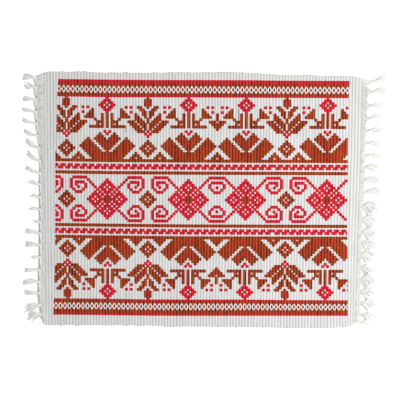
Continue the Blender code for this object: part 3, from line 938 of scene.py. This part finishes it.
def make_fringe(side, settings):
    """One fringe: swept and fanned warp threads over a lower layer of straight ones, and a thread
    tied round each bunch where the photograph shows one."""
    random = np.random.default_rng(SEEDS[side])
    points, hang = thread_paths(side, settings, random)
    hang = hang[:, None]
    paths = curve_through(points, CURVE_STEPS)
    stage = np.arange(paths.shape[1]) / CURVE_STEPS
    thick = np.interp(stage, *THICKNESS) * settings.thread_radius
    tuft = np.clip((stage - TUFT_START) / TUFT_FADE, 0.0, 1.0)
    swelling = TUFT_SWELL[side] + HANG_SWELL * hang
    radii = thick * random.uniform(0.85, 1.15, (len(paths), 1)) * (1.0 + tuft * swelling)
    tints = random.random((len(paths), 1))
    paths[..., 2] = np.maximum(paths[..., 2], radii)
    under = under_paths(side, random)
    under_tints = random.random((len(under), 1))
    # A hanging thread's mark is raised, which paints it paler, as painted light
    tuft = tuft * (1.0 + HANG_MARK * hang)
    parts = [
        (tubes(paths, radii, 6), tints, tuft[..., None], paths),
        (tubes(under, np.full(under.shape[:2], UNDER_RADIUS), 5), under_tints, 0.0, under),
    ]
    if side == "right":
        parts.append(tie_rings(settings))
    points, quads, ends, marks, kinds, maps, end_maps = [], [], [], [], [], [], []
    first = 0
    for ((spots, faces, caps), tint, kind, lines), (low, high) in zip(parts, MAP_STRIPS):
        threads, rings, sides = spots.shape[:3]
        run = np.linalg.norm(np.diff(lines, axis=1), axis=2).cumsum(axis=1)
        run = np.concatenate((np.zeros((threads, 1)), run), axis=1)
        mark = np.stack(np.broadcast_arrays(run[:, :, None], np.arange(sides) / sides, tint[:, :, None]), -1)
        points.append(spots.reshape(-1, 3))
        marks.append(mark.reshape(-1, 3))
        kind = np.zeros(spots.shape[:3]) + kind
        kinds.append(np.stack((kind, 0.0 * kind, 0.0 * kind), axis=-1).reshape(-1, 3))
        quads.append(faces + first)
        ends += (caps + first).tolist()
        maps.append(tube_map(threads, rings, sides, low, high))
        end_maps.append(cap_map(threads, sides, low, high))
        first += spots[..., 0].size
    piece = show(side + "_fringe", np.vstack(points), np.vstack(quads), ends, fringe_paint(side, settings))
    keep(piece.data, "thread", "POINT", np.vstack(marks))
    keep(piece.data, "part", "POINT", np.vstack(kinds))
    keep_map(piece.data, np.vstack(maps + end_maps))
    return piece


def tie_rings(settings):
    """A turn and a half of thread round each knot of the right fringe's far half: a helix a little
    wider than the knot, held above the floor."""
    knot_y = BUNCHES["right"]["knot_y"][:TIED, None]
    turn = np.linspace(0.0, 3.0 * np.pi, 19)
    size = settings.knot_radius * 1.12
    x = end_line("right_knot", knot_y) + 0.0005 * (turn / turn[-1] - 0.5)
    y = knot_y + size * np.cos(turn)
    z = np.maximum(size * (1.0 + np.sin(turn)) + 0.0001, 0.0002)
    paths = np.stack(np.broadcast_arrays(x, y, z), axis=-1)
    radii = np.full(paths.shape[:2], TIE_RADIUS)
    return tubes(paths, radii, 5, axis=(1.0, 0.0, 0.0)), np.zeros((len(paths), 1)), TIE_MARK, paths


def tube_map(threads, rings, sides, low, high):
    """Flat map of many tubes: each is a strip, as long as the square is wide."""
    counts = (np.arange(threads), np.arange(rings - 1), np.arange(sides))
    thread, ring, around = np.meshgrid(*counts, indexing="ij")
    span = (high - low) / threads
    across = low + span * (thread + 0.08 + 0.84 * np.stack((around, around, around + 1, around + 1)) / sides)
    along = 0.03 + 0.94 * np.stack((ring, ring + 1, ring + 1, ring)) / (rings - 1)
    return np.stack((along, across), axis=-1).transpose(1, 2, 3, 0, 4).reshape(-1, 2)


def cap_map(threads, sides, low, high):
    """Flat map of the tubes' end faces: small rounds at both ends of the strips."""
    angle = 2.0 * np.pi * np.arange(sides) / sides
    middle = low + (high - low) * (np.arange(threads) + 0.5) / threads
    rim = 0.42 * (high - low) / threads
    ends = []
    for start in (0.012, 0.988):
        ends.append(np.stack(np.broadcast_arrays(start + 0.008 * np.cos(angle),
                                                 middle[:, None] + rim * np.sin(angle)), axis=-1))
    return np.concatenate(ends).reshape(-1, 2)


def fringe_paint(side, settings):
    """Soft cotton thread: twisted ply in relief with painted shade in its grooves, and a tint that differs
    from thread to thread, in one colour for the band, others for the tufts and for the hanging tufts, these
    with painted light, and one for the ties. Each side's colours are set for how the light falls there:
    painted lighter at the left fringe and darker at the right."""
    paint = Paint("warp_cotton_" + side)
    run, around, tint = paint.attribute("thread")
    kind, _, _ = paint.attribute("part")
    place = paint.node("ShaderNodeTexCoord", output="Object")
    fibre = paint.noise(place, 1800.0)
    lump = paint.noise(place, 520.0)
    ply = ((run * 700.0 + around) * 2.0).sawtooth()
    bead = 1.0 - (ply * 2.0 - 1.0) ** 2.0
    # Painted shade: the threads are darker in the grooves of the ply's twist; the rest of the tone differs
    # at random from thread to thread
    groove_shade_and_yarn_tone = tint * 0.4 + fibre * 0.3 + bead * 0.2 + lump * 1.6 - 0.75
    # Painted light and shade: each side's band and tufts take their own colour, set for how the light falls
    # on that side
    cotton, tips = (getattr(settings, side + name) for name in ("_cotton", "_tips"))
    band = paint.blend([c * 0.78 for c in cotton], cotton, groove_shade_and_yarn_tone)
    tuft = paint.blend([c * 0.90 for c in tips], tips, groove_shade_and_yarn_tone)
    # Painted light: where a tuft hangs, its colour goes to a paler, even tone
    tuft_with_painted_light = paint.blend(tuft, [c * 0.97 for c in tips], (kind - 1.0) / FULL_HANG_MARK)
    colour = paint.blend(paint.blend(band, tuft_with_painted_light, kind), settings.tie, kind.over(1.4, 1.6))
    return paint.finish(colour, bead * 0.6 + fibre * 0.4, 0.00012, 0.9)


class RUNNER_OT_cloth(bpy.types.Operator):
    """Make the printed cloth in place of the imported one"""

    bl_idname = "runner.cloth"
    bl_label = "Make the cloth"

    def execute(self, context):
        piece = make_cloth(context.scene.runner_cloth)
        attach(piece, "root")
        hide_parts("cloth")
        return {"FINISHED"}


class RUNNER_OT_fringes(bpy.types.Operator):
    """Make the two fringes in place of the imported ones"""

    bl_idname = "runner.fringes"
    bl_label = "Make the fringes"

    def execute(self, context):
        for side in ("left", "right"):
            piece = make_fringe(side, context.scene.runner_fringe)
            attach(piece, "root")
            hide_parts("fringe_" + side)
        return {"FINISHED"}


class RUNNER_OT_stage(bpy.types.Operator):
    """Make the floor, the lights and the camera"""

    bl_idname = "runner.stage"
    bl_label = "Make the stage"

    def execute(self, context):
        settings = context.scene.runner_stage
        half = 3.0
        corners = np.array([(-half, -half), (half, -half), (half, half), (-half, half)])
        mesh = bpy.data.meshes.new("floor")
        mesh.from_pydata(np.column_stack((corners, np.full(4, -0.0003))).tolist(), [], [(0, 1, 2, 3)])
        floor = bpy.data.objects.new("floor", mesh)
        context.scene.collection.objects.link(floor)
        paint = Paint("pale_floor")
        place = paint.node("ShaderNodeTexCoord", output="Object")
        grain = paint.noise(place, 60.0)
        colour = paint.blend([c * 0.985 for c in settings.floor], settings.floor, grain)
        mesh.materials.append(paint.finish(colour, grain, 0.0001, 0.8))

        world = bpy.data.worlds.new("studio")
        world.use_nodes = True
        shade = world.node_tree.nodes["Background"]
        shade.inputs["Color"].default_value = (1.0, 1.0, 1.0, 1.0)
        shade.inputs["Strength"].default_value = settings.fill_strength
        context.scene.world = world
        add_light("key", place=(1.20, -0.10, 1.15), target=(0.0, 0.0, 0.0), size=0.8,
                  power=settings.key_power)

        span = PICTURE_PX * PIXEL
        centre = [(PICTURE_PX / 2.0 - origin) * PIXEL for origin in ORIGIN_PX]
        camera = bpy.data.cameras.new("camera")
        camera.lens = settings.lens
        distance = camera.lens / camera.sensor_width * span
        camera.clip_end = 20.0
        eye = bpy.data.objects.new("camera", camera)
        eye.location = (centre[0], -centre[1], distance + CAD_BOX[1].z)
        context.scene.collection.objects.link(eye)
        context.scene.camera = eye
        context.scene.view_settings.view_transform = "Standard"
        return {"FINISHED"}


def add_light(name, place, target, size, power):
    """A square soft light at a place, turned to a target."""
    data = bpy.data.lights.new(name, "AREA")
    data.size = size
    data.energy = power
    light = bpy.data.objects.new(name, data)
    light.location = place
    toward = np.subtract(target, place)
    flat = math.hypot(toward[0], toward[1])
    turn = math.atan2(toward[1], toward[0]) - math.pi / 2
    light.rotation_euler = (math.atan2(flat, -toward[2]), 0.0, turn)
    bpy.context.scene.collection.objects.link(light)


class RUNNER_PT_panel(bpy.types.Panel):
    """Lists the runner's settings and makes its pieces."""

    bl_idname = "RUNNER_PT_panel"
    bl_label = "Table runner"
    bl_space_type = "VIEW_3D"
    bl_region_type = "UI"
    bl_category = "Runner"

    def draw(self, context):
        for name, operator in STEPS:
            box = self.layout.box()
            settings = getattr(context.scene, name)
            for key in settings.bl_rna.properties.keys():
                if key not in ("rna_type", "name"):
                    box.prop(settings, key)
            box.operator(operator.bl_idname)


STEPS = (
    ("runner_cloth", RUNNER_OT_cloth),
    ("runner_fringe", RUNNER_OT_fringes),
    ("runner_stage", RUNNER_OT_stage),
)
GROUPS = {
    "runner_cloth": RunnerClothSettings,
    "runner_fringe": RunnerFringeSettings,
    "runner_stage": RunnerStageSettings,
}


def register():
    """Add the classes to Blender, and their settings to each scene."""
    for kind in (*GROUPS.values(), *(operator for _, operator in STEPS), RUNNER_PT_panel):
        bpy.utils.register_class(kind)
    for name, kind in GROUPS.items():
        setattr(bpy.types.Scene, name, bpy.props.PointerProperty(type=kind))


def unregister():
    """Take the settings and the classes out again."""
    for name in GROUPS:
        delattr(bpy.types.Scene, name)
    for kind in (RUNNER_PT_panel, *(operator for _, operator in STEPS), *GROUPS.values()):
        bpy.utils.unregister_class(kind)


def main():
    """Register the add-on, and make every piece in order."""
    register()
    bpy.ops.runner.cloth()
    bpy.ops.runner.fringes()
    bpy.ops.runner.stage()


if __name__ == "__main__":
    main()
